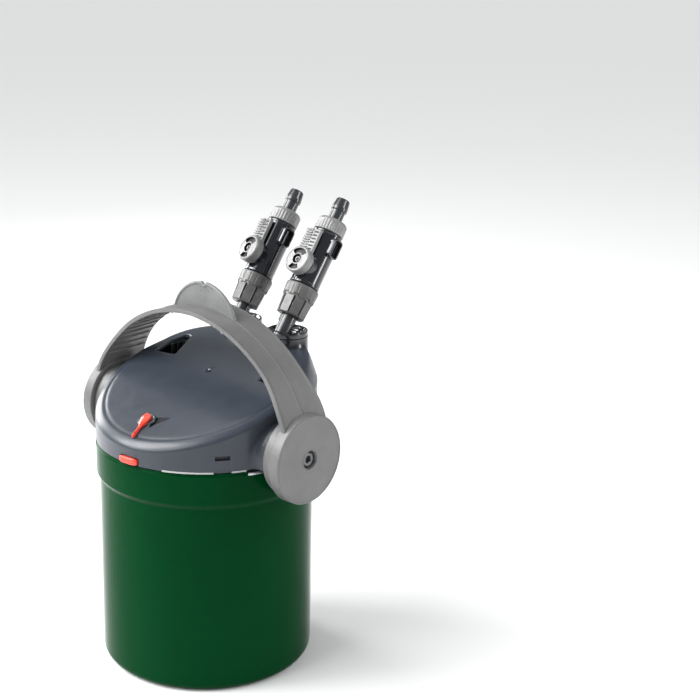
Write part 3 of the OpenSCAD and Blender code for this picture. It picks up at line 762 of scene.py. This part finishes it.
def add_crest(s):
    """The round crest that stands on the strap: a face, a bead along its rim, and the rim's crown."""
    zc = ARCH_H - 16
    edge = []
    for t in np.linspace(math.radians(14), math.radians(166), 121):
        x, z = CREST_R * math.cos(t), zc + CREST_R * math.sin(t)
        edge.append((x, z - max(0.0, 2.35 - abs(x))))
    bottom = []
    for x, z in edge:
        tt = math.acos(max(-1, min(1, np.sign(x) * (abs(x) / (HUB_X - 0.8)) ** (ARCH_N / 2))))
        zz = float(arch(np.array(tt), HUB_X - 0.8, ARCH_H - 0.8)[1])
        bottom.append((x, min(zz, z - 0.05)))
    top, bot = np.array(edge), np.array(bottom)
    inward = np.gradient(top, axis=0)
    inward = np.c_[-inward[:, 1], inward[:, 0]]
    inward /= np.linalg.norm(inward, axis=1)[:, None]
    steps = [(0.0, 0.0), (0.12, 0.75), (0.45, 1.3), (1.1, 1.6), (1.9, 1.5), (2.4, 1.05), (3.0, 0.95)]
    side_rows = []
    for depth, w in steps:
        q = top + inward * depth
        q[:, 1] = np.maximum(q[:, 1], bot[:, 1])
        side_rows.append((q, w))
    last = side_rows[-1][0]
    for f in (0.33, 0.66, 1.0):
        q = last + (bot - last) * f
        side_rows.append((q, 0.95))
    for sgn in (-1, 1):
        rows = [np.c_[q[:, 0], np.full(len(q), sgn * w), q[:, 1]] for q, w in side_rows]
        s.sheet(rows, wrap=False, mat=1)


def add_grip_ribs(s):
    """Ribs across the strap's underside, along its left half and its crown."""
    for k in range(18):
        t = math.radians(166 - k * 4.6)
        x, z = arch(np.array(t), HUB_X - STRAP_T, ARCH_H - STRAP_T)
        x1, z1 = arch(np.array(t - 0.01), HUB_X - STRAP_T, ARCH_H - STRAP_T)
        if z < 38:
            continue
        d = Vector((float(x1 - x), 0, float(z1 - z))).normalized()
        up = Vector((0, 1, 0)).cross(d).normalized()
        if up.z > 0:
            up = -up
        rot = Matrix((d, (0, 1, 0), up)).transposed().to_4x4()
        place = Matrix.Translation((float(x), 0, float(z))) @ rot
        reach = (STRAP_W / 2 - 2.5) * float(taper(z))
        s.box((-1.0, -reach, -0.3), (1.0, reach, 0.8), 0.4, place=place, corner=0.9)


def make_strap():
    s = Shape()
    add_band(s)
    add_crest(s)
    add_grip_ribs(s)
    s.slab(circle(1.6, 20), ARCH_H - STRAP_T - 1.6, ARCH_H - STRAP_T + 0.4, 0.5)
    tilt = Matrix.Translation((0, 0, PIVOT_Z)) @ Matrix.Rotation(math.radians(-TILT), 4, "X")
    build("strap", s, "handle", [M["handle"], M["handle_pits"]], ["handle_strap"],
          place=tilt, angle=50)


def make_hub(side, name):
    d = Shape()
    prof = [(6.1, DRUM_X), (DRUM_R - 0.6, DRUM_X, 0.6), (DRUM_R, DRUM_X + 1.2, 0.6),
            (DRUM_R, HUB_IN_X - 0.6, 0.4), (HUB_R - 1.6, HUB_IN_X - 0.2, 0.3), (HUB_R, HUB_IN_X + 0.9, 0.9),
            (HUB_R, HUB_X - 1.4, 0.8), (HUB_R - 0.7, HUB_X - 0.1, 0.45), (HUB_R - 1.6, HUB_X, 0.3),
            (HUB_R - 2.2, HUB_X - 0.45, 0.3), (8.6, HUB_X - 0.45, 0.3), (8.0, HUB_X - 0.15, 0.25),
            (7.2, HUB_X - 0.15, 0.3), (6.5, HUB_X - 1.2, 0.3), (6.35, HUB_IN_X + 3.7),
            (6.1, HUB_IN_X + 3.65), (6.1, DRUM_X)]
    d.lathe(fillet(prof, 5), 180)
    d.box((HUB_R - 0.4, -1.6, HUB_X - 8.4), (HUB_R, 1.6, HUB_X - 5.2), 0.15, place=turned(90 + 108 * side))
    build(f"hub_{name}", d, "handle", [M["handle"]], [f"hub_disc_{name}"],
          place=frame_x(side))


def make_hub_screw(side, name):
    k = Shape()
    zf = HUB_IN_X + 8.6
    k.lathe(fillet([(0, zf - 3.0), (2.2, zf - 3.0, 0.1), (2.6, zf - 0.5, 0.2), (3.1, zf, 0.3), (4.7, zf, 0.5),
                    (5.6, zf - 0.9, 0.5), (5.6, HUB_IN_X + 4.05), (2.0, HUB_IN_X + 4.0), (2.0, 86.0),
                    (0, 86.0)], 4), 72)
    # near-black floor of the hex socket: painted shade in the recess
    k.slab([(0.9 * x, 0.9 * y) for x, y in circle(2.2, 6)], zf - 3.2, zf - 2.6, 0.1, mat=1)
    build(f"screw_{name}", k, "head", [M["screw"], M["painted_gap_shade"]], [f"hub_screw_{name}"],
          place=frame_x(side))


# ------------------------------------------------------------------ small red parts

def make_tab():
    s = Shape()
    rings = []
    for a in np.linspace(-1, 1, 25):
        x = 8.5 * a
        thin = 0.9 * abs(a) ** 8
        y_out = -math.sqrt(86.0 ** 2 - x * x) + thin
        rings.append([(x, y, z) for y, z in rounded_rect(y_out, -83.0, 176.35 + thin, 181.25 - thin, 0.9, 4)])
    s.tube(rings)
    s.box((-10, -79, 177.9), (10, -77.6, 182.6), 0.3)
    s.box((-3, -83.4, 178.2), (3, -78.5, 180.5), 0.3)
    build("tab", s, "red_tab", M["red"], ["red_tab"], place=turned(TAB_BEARING))


def make_pointer():
    """The flow pointer and the seat round its foot, square to the lid."""
    z = float(dome(*FRONT_DOME, np.array(0.0), np.array(POINTER_Y)))
    centre = (DOME_RISE - DOME_R) * -math.sin(math.radians(FRONT_DOME[1]))
    lean = math.asin((centre - POINTER_Y) / DOME_R)
    seat = Matrix.Translation((0, POINTER_Y, z)) @ Matrix.Rotation(lean, 4, "X")
    p = Shape()
    xs = np.concatenate([np.linspace(-3.9, 3.6, 19), np.linspace(4.4, 21, 27)])
    rows = []
    for x in xs:
        round_w = 0.97 * math.sqrt(max(0.0, 4.0 ** 2 - x * x)) if x < 4.0 else 0.0
        arm_w = 3.3 + (0.95 - 3.3) * float(step(x, 3.0, 11.5)) + 0.25 * float(step(x, 15, 20.5))
        if x > 20.2:
            arm_w *= 0.7
        w = max(round_w, arm_w if x > 0 else 0.0, 0.25)
        h = 3.6 - 0.9 * float(step(x, 2, 16))
        if x < -3.6 or x > 20.2:
            h -= 0.5
        low = 0.55
        rows.append([(x, y, zz) for y, zz in
                     [(-w, low), (-w, h - 1.3), (-w * 0.92, h - 0.9), (-w * 0.25, h - 0.05), (0, h),
                      (w * 0.25, h - 0.05), (w * 0.92, h - 0.9), (w, h - 1.3), (w, low)]])
    p.tube(rows)
    p.lathe([(0, -5.5), (3.4, -5.5), (3.4, -3.9), (2, -3.8), (2, 0.6), (0, 0.6)], 40)
    build("pointer", p, "flow_pointer", M["red"], ["flow_pointer"], place=seat @ turned(-74),
          angle=32)
    c = Shape()
    c.lathe(fillet([(5.0, -0.6), (5.0, 0.35, 0.2), (5.5, 0.7, 0.3), (6.6, 0.55, 0.4), (7.2, -0.25)], 4), 60)
    build("pointer_seat", c, "head", M["head"], place=seat)


# ------------------------------------------------------------------ taps

def polar(fn, zs, cols):
    t = around(cols)
    return [hoop(t, fn(t, z), z) for z in zs]


def make_adapter(name, tap):
    s = Shape()
    s.lathe(fillet([(4.5, -22), (5.8, -22, 0.4), (6.2, -21.2, 0.4), (6.2, 5.6, 0.3), (4.5, 5.6), (4.5, -22)],
                   4), 72)
    s.box((-9.1, -1.6, -5.4), (-5.6, 1.6, -0.6), 0.9, corner=1.3, mat=1)
    build(f"union_tube_{name}", s, "head", [M["barb"], M["tap_grey"]], [f"adapter_{name}"],
          place=tap)


FACETS, FACET_MID, FACET_SLOT = 8, 0.42, 0.92


def along_facet(t):
    """How far round its facet an angle lies, 0 to 1."""
    return (t / (2 * math.pi) * FACETS + 0.3) % 1


def lower_nut_r(t, z):
    """Eight broad facets with slots between them, under a stepped collar."""
    u = along_facet(t)
    facet = 10.75 + 0.95 * min(1.0, z / 13.0)
    flat = facet * 0.985 / np.cos((u - FACET_MID) * math.pi / 4 * 0.95)
    away = np.abs(u - FACET_SLOT)
    height = float(step(z, 0.3, 1.2)) * (1 - float(step(z, 13.6, 14.4)))
    groove = np.clip(1 - away / 0.07, 0, 1) ** 0.35 * height
    lip = np.exp(-((away - 0.1) / 0.03) ** 2) * 0.2
    low = np.minimum(flat, 11.9) + lip - 1.5 * groove
    shelf = np.where((u > 0.25) & (u < 0.75), 14.2, 15.9)
    k = step(z, shelf - 0.4, shelf + 0.4)
    high = 12.6 + 0.65 * np.clip((z - 14) / 8, 0, 1) - 0.3 * (np.abs(((u * 2) % 1) - 0.5) > 0.44)
    return low * (1 - k) + high * k


def make_lower_nut(name, tap):
    n = Shape()
    cols = 256
    zs = np.r_[0.0, 0.12, 0.4, np.linspace(1, 13.4, 14), np.linspace(13.6, 17, 18), np.linspace(18, 23.6, 6)]
    rows = polar(lower_nut_r, zs, cols)
    rows[0] = rows[0] * [0.955, 0.955, 1]
    rows[1] = rows[1] * [0.985, 0.985, 1]
    rows += [hoop(around(cols), r, z) for r, z in
             ((13.2, 24.1), (12.95, 24.5), (12.5, 24.6), (10.6, 24.6), (10.3, 24.0), (10.3, 5.2), (6.8, 5.2),
              (6.8, 0.0))]
    rows.append(rows[0])
    n.sheet(rows)

    def in_slot(q):
        x, y, z = q.mean(0)
        off = abs(along_facet(math.atan2(y, x)) - FACET_SLOT)
        return off < 0.05 and 0.9 < z < 13.9 and math.hypot(x, y) > 9

    # the slot faces are painted near-black as shade in the slots between the facets
    n.paint(1, in_slot)
    build(f"nut_low_{name}", n, f"lower_nut_{name}", [M["tap_grey"], M["painted_gap_shade"]],
          [f"lower_nut_{name}"], place=tap, angle=50)


def make_tap_body(name, tap):
    """A glossy tube with a barrel toward the lever and a framed socket beside it."""
    b = Shape()
    b.lathe(fillet([(4.5, 6), (9.0, 6, 0.4), (9.5, 6.8, 0.4), (9.5, 25.0), (11.2, 25.0, 0.3),
                    (12.0, 25.8, 0.6), (12.0, 27.4, 0.4), (11.7, 27.8, 0.3), (11.7, 69.4, 0.3),
                    (12.0, 69.8, 0.3), (12.0, 70.8, 0.4), (11.4, 71.4, 0.4), (8.0, 71.4, 0.3),
                    (8.0, 77.4, 0.4), (4.5, 77.4), (4.5, 6)], 5), 128)
    barrel = Matrix.Translation((0, 0, COCK_Z)) @ Matrix.Rotation(math.radians(90), 4, "X")
    b.lathe(fillet([(0, 4), (10.0, 4), (10.0, 11.6, 0.5), (9.3, 12.5, 0.7), (6.6, 12.5, 0.3), (6.6, 5),
                    (0, 5)], 4), 96, place=barrel)
    path = rounded_rect(-4.7, 4.7, 53.4, 67.4, 2.2, 6)
    face = [list(range(len(path)))]
    rings = []
    for x, e in ((9.0, 0.75), (13.9, 0.75), (14.45, 0.45), (14.6, 0.0), (14.45, -0.45), (13.9, -0.75),
                 (11.4, -0.75)):
        rings.append([(x, y, z) for y, z in inset(path, -e)])
    b.sheet(rings)
    # the face inside the frame is near-black: painted shade in the socket
    b.add(rings[-1], face, mat=1)
    b.add(rings[0], face)

    def in_socket(q):
        x, y, z = q.T
        return (x.max() < 14.0 and x.mean() > 11.5 and np.abs(y).max() < 4.1
                and 54.0 < z.min() and z.max() < 66.8)

    # the socket's inner faces are painted near-black as shade
    b.paint(1, in_socket)
    b.box((-1.1, -12.3, 26.0), (1.1, -10.8, 30.2), 0.5)
    build(f"valve_{name}", b, "head", [M["tap_black"], M["painted_gap_shade"]], [f"tap_body_{name}"],
          place=tap)


def make_lever(name, cross):
    """A dished hub with two arc slots, and a comb that lies along the tap's body."""
    v = Shape()
    cols = 144
    t = around(cols)
    top, low = 20.6, 13.0
    slot_on = (np.abs(np.cos(t)) < np.where(np.sin(t) > 0, 0.74, 0.52)).astype(float)
    rows = []
    for r in (1.55, 1.56, 3.85, 3.87, 4.0, 4.55, 4.75, 4.86, 4.9, 6.6, 8.86, 8.9, 9.0, 9.4, 9.9, 10.4, 10.75,
              10.9):
        z = top
        if r < 3.86:
            z = top - 2.4
        elif r < 4.6:
            z = top - 0.05
        elif 4.88 < r < 8.88:
            z = top - 0.2 - 1.9 * slot_on
        elif r < 9.0:
            z = top - 0.2
        elif r > 9.5:
            z = top - (1 - math.sqrt(max(0, 1 - ((r - 9.5) / 1.4) ** 2))) * 1.4
        rows.append(hoop(t, r, z))
    rows += [hoop(t, r, z) for r, z in ((10.9, 17), (10.9, 14.2), (10.6, 13.3), (10.1, low), (1.55, low))]
    v.sheet(rows)

    def in_slot(q):
        return (q[:, 2].max() > 16 and q[:, 2].mean() < top - 0.9
                and np.hypot(q[:, 0], q[:, 1]).max() < 8.95)

    # the arc slot floors are painted near-black as shade
    v.paint(1, in_slot)
    v.box((-5.4, 6.0, low), (6.4, 28.4, low + 2.6), 0.5, corner=1.2)
    v.box((5.4, 8.0, low), (6.5, 28.0, low + 3.1), 0.4)
    for k in range(9):
        v.box((-7.3, 9.9 + k * 2.05, low + 0.2), (-0.6, 11.0 + k * 2.05, low + 3.6), 0.4)
    # thin near-black strips on the bar: painted shade standing for slots between its ribs
    for k in range(6):
        v.box((0.4, 10.6 + k * 2.9, low + 2.2), (4.9, 11.9 + k * 2.9, low + 2.75), 0.1, mat=1)
    build(f"lever_arm_{name}", v, f"lever_{name}", [M["tap_light"], M["painted_gap_shade"]],
          [f"lever_{name}"], place=cross, angle=40)
    k = Shape()
    k.lathe(fillet([(0, 18.3), (1.0, 18.3, 0.1), (1.1, 19.4, 0.2), (2.0, 19.6, 0.3), (2.4, 19.3, 0.3),
                    (2.4, 18.25), (1.5, 18.2), (1.5, 6.5), (0, 6.5)], 3), 40)
    build(f"lever_bolt_{name}", k, f"lever_{name}", M["screw"], [f"lever_screw_{name}"], place=cross)


def upper_nut_r(t, z):
    """Fine ribs under a smooth cone."""
    w = 0.5 + 0.5 * np.cos(t * 28)
    fade = float(step(z, 0.2, 0.9)) * (1 - float(step(z, 7.6, 8.5)))
    return 11.95 - 0.42 * (1 - w ** 0.5) * fade - 0.25 * (z < 0.1)


def make_upper_nut(name, tap):
    cols = 28 * 8
    rows = polar(upper_nut_r, [0.0, 0.15, 0.5, 0.9, 2, 4, 6, 7.4, 8.0, 8.6], cols)
    rows += [hoop(around(cols), r, z) for r, z in
             ((11.75, 8.9), (11.4, 9.75), (10.6, 10.6), (9.8, 10.98), (6.3, 10.98), (6.1, 10.6), (6.1, 8.4),
              (8.45, 8.35), (8.45, 0.0))]
    rows.append(rows[0])
    build(f"nut_top_{name}", Shape().sheet(rows), f"upper_nut_{name}", M["tap_light"],
          [f"upper_nut_{name}"], place=tap @ Matrix.Translation((0, 0, 71.8)), angle=50)


def make_barb(name, tap):
    h = Shape()
    h.lathe(fillet([(4.0, 0), (7.6, 0, 0.3), (7.6, 2.2, 0.3), (5.6, 2.2, 0.3), (5.6, 13.6, 0.3),
                    (6.4, 14.1, 0.25), (6.4, 16.6, 0.5), (5.45, 23.0, 0.7), (5.0, 23.8, 0.4),
                    (4.4, 23.8, 0.3), (4.0, 23.2, 0.2), (4.0, 0)], 4), 72)
    build(f"hose_barb_{name}", h, "head", M["barb"], [f"barb_{name}"],
          place=tap @ Matrix.Translation((0, 0, 77.6)))


def make_tap(side, name):
    tap, cross = frame_tap(side), frame_cock(side)
    make_adapter(name, tap)
    make_lower_nut(name, tap)
    make_tap_body(name, tap)
    make_lever(name, cross)
    make_upper_nut(name, tap)
    make_barb(name, tap)


def make_gland():
    s = Shape()
    s.lathe(fillet([(3.2, 79.6), (5.4, 79.6), (5.4, 83.6), (7.4, 83.6, 0.3), (7.4, 84.6, 0.5),
                    (6.4, 87.0, 0.6), (6.0, 88.45, 0.6), (4.2, 88.5, 0.4), (3.2, 87.6, 0.3),
                    (3.2, 79.6)], 4), 64)
    build("mains_gland", s, "head", M["inner"], ["cable_gland"],
          place=Matrix.Translation((0, 0, 200)) @ Matrix.Rotation(math.radians(-90), 4, "X"))


# ------------------------------------------------------------------ soft layers inside

def make_pad(name, node, mat, seed, rough, radius):
    """A crowned layer about as thick as its node, notched where the intake tube passes."""
    low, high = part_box(node)
    z0, z1 = low.z / MM, high.z / MM
    mid, half = (z0 + z1) / 2, (z1 - z0) / 2 - 0.35
    rng = np.random.default_rng(seed)
    cols = 240
    t = around(cols)
    d, a = math.hypot(TAP[0], 60.0), math.atan2(60.0, -TAP[0])
    off = np.angle(np.exp(1j * (t - a)))
    inner = d * np.cos(off) - np.sqrt(np.clip(11.0 ** 2 - (d * np.sin(off)) ** 2, 0, None))
    notch = np.where(np.abs(d * np.sin(off)) < 11.0, inner, radius)
    notch = np.where(np.cos(off) > 0, notch, radius)
    edge = np.minimum(radius, notch)
    for _ in range(2):
        edge = np.minimum(edge, (np.roll(edge, 1) + edge + np.roll(edge, -1)) / 3)
    wob = sum(rng.normal() * np.cos(k * t + rng.uniform(0, 6)) for k in range(3, 14)) * 0.06

    def face(sign):
        rows = []
        for f in np.linspace(0, 1, 40):
            r = edge * f - 0.5 - np.abs(wob) * f
            r = np.maximum(r, 0) if f > 0 else np.zeros(cols)
            crown = half * (1 - 0.10 * f ** 2) * (1 - max(0.0, (f - 0.955) / 0.045) ** 2.2 * 0.62)
            lump = np.zeros(cols)
            if 0 < f < 0.97:
                lump = rough * (np.cos(r * 0.55 + 3 * np.cos(t * 5)) * np.cos(t * 9 + r * 0.12) * 0.5)
            rows.append(np.c_[r * np.cos(t), r * np.sin(t), mid + sign * (crown - np.abs(lump))])
        return rows

    up, dn = face(1), face(-1)
    s = Shape()
    s.sheet(up)
    s.sheet([up[-1], np.c_[up[-1][:, :2] * 1.004, np.full(cols, mid + half * 0.1)], dn[-1]])
    s.sheet(dn)
    pad = build(name, s, "canister", mat, [node], angle=70)


# ------------------------------------------------------------------ everything

make_canister()
for side, name in SIDES:
    make_clip(side, name)
make_head()
make_head_inside()
make_gate_mark()
# painted highlights along the head's bottom edge, either side of the slot
make_painted_seam_highlight("a", 24.0, 49.5)
make_painted_seam_highlight("b", 58.5, 66.0)
for side, name in PORTS:
    make_turret_foot(side, name)
for side, name in SIDES:
    make_boss_skirt(side, name)
for side, name in PORTS:
    make_socket(side, name)
make_strap()
for side, name in SIDES:
    make_hub(side, name)
    make_hub_screw(side, name)
make_tab()
make_pointer()
for side, name in PORTS:
    make_tap(side, name)
make_gland()
make_pad("fleece_pad", "fine_pad", M["floss"], 3, 0.35, 74.8)
make_pad("carbon_fleece", "carbon_pad", M["carbon"], 5, 0.35, 74.8)
make_pad("foam_pad", "coarse_pad", M["foam"], 7, 0.3, 73.2)

CARRIED = {
    "white": ["media_basket", "impeller", "cock_in", "cock_out"],
    "ceramic": ["ceramic_media", "rotor_shaft"],
    "inner": ["prefilter_tray", "tray_lid", "head_base", "intake_tube", "motor_housing", "impeller_cover"],
    "seal_orange": ["head_seal_ring"],
    "seal_black": ["bush_upper", "bush_lower", "adapter_seal_in", "adapter_seal_out", "barb_seal_in",
                   "barb_seal_out"],
    "lamination": ["stator_core"],
    "copper": ["windings"],
    "magnet": ["rotor_magnet"],
    "steel": ["pivot_pin_left", "pivot_pin_right"],
}
for key, nodes in CARRIED.items():
    for node in nodes:
        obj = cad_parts[node]
        obj.data.materials.clear()
        obj.data.materials.append(M[key])
        obj.data.shade_smooth()
        obj.data.set_sharp_from_angle(angle=math.radians(35))


# ------------------------------------------------------------------ studio

def make_studio():
    mesh = bpy.data.meshes.new("floor")
    mesh.from_pydata([(-40, -40, 0), (40, -40, 0), (40, 40, 0), (-40, 40, 0)], [], [[0, 1, 2, 3]])
    floor = bpy.data.objects.new("floor", mesh)
    bpy.context.scene.collection.objects.link(floor)
    mat = bpy.data.materials.new("m_floor")
    mat.use_nodes = True
    b = mat.node_tree.nodes["Principled BSDF"]
    b.inputs["Base Color"].default_value = (0.86, 0.86, 0.86, 1)
    b.inputs["Roughness"].default_value = 0.75
    mesh.materials.append(mat)

    world = bpy.data.worlds.new("studio")
    bpy.context.scene.world = world
    world.use_nodes = True
    bg = world.node_tree.nodes["Background"]
    bg.inputs["Color"].default_value = (0.97, 0.985, 1.0, 1)
    bg.inputs["Strength"].default_value = 0.32

    def lamp(name, bearing, height, distance, size, power):
        """bearing: degrees round the object from the camera, positive to the camera's right."""
        a = math.radians(CAMERA_BEARING) + math.radians(bearing)
        data = bpy.data.lights.new(name, "AREA")
        data.shape = "RECTANGLE"
        data.size, data.size_y = size
        data.energy = power
        o = bpy.data.objects.new(name, data)
        o.location = (math.sin(a) * distance, -math.cos(a) * distance, height)
        way = Vector((0, 0, 0.17)) - o.location
        o.rotation_mode = "QUATERNION"
        o.rotation_quaternion = way.to_track_quat("-Z", "Y")
        bpy.context.scene.collection.objects.link(o)

    lamp("strip_left", -92, 1.15, 1.1, (0.8, 0.9), 20)
    lamp("rim", -138, 0.5, 1.3, (0.5, 0.7), 12)
    lamp("strip_right", 70, 0.75, 1.1, (0.2, 1.2), 9)
    lamp("top", -145, 1.9, 0.9, (1.2, 0.9), 5)
    sun = bpy.data.lights.new("key", "SUN")
    sun.energy = 3.0
    sun.angle = math.radians(55)
    key = bpy.data.objects.new("key", sun)
    a = math.radians(CAMERA_BEARING) + math.radians(-76)
    way = Vector((-math.sin(a), math.cos(a), -0.75))
    key.rotation_mode = "QUATERNION"
    key.rotation_quaternion = way.to_track_quat("-Z", "Y")
    bpy.context.scene.collection.objects.link(key)


def make_camera():
    az, pitch, roll, yaw = (math.radians(v) for v in (CAMERA_BEARING, 16.93, 1.42, 5.76))
    dist, height = 1.07, 0.569
    a = az - yaw
    ahead = Vector((-math.sin(a), math.cos(a), 0))
    right = Vector((math.cos(a), math.sin(a), 0))
    up = Vector((0, 0, 1))
    look = ahead * math.cos(pitch) - up * math.sin(pitch)
    level = up * math.cos(pitch) + ahead * math.sin(pitch)
    x_axis = right * math.cos(roll) + level * math.sin(roll)
    y_axis = level * math.cos(roll) - right * math.sin(roll)
    data = bpy.data.cameras.new("camera")
    data.sensor_width = 36
    data.lens = 76.44857
    cam = bpy.data.objects.new("camera", data)
    m = Matrix((x_axis, y_axis, -look)).transposed().to_4x4()
    m.translation = (math.sin(az) * dist, -math.cos(az) * dist, height)
    cam.matrix_world = m
    bpy.context.scene.collection.objects.link(cam)
    bpy.context.scene.camera = cam


make_studio()
make_camera()
bpy.context.scene.view_settings.view_transform = "Standard"
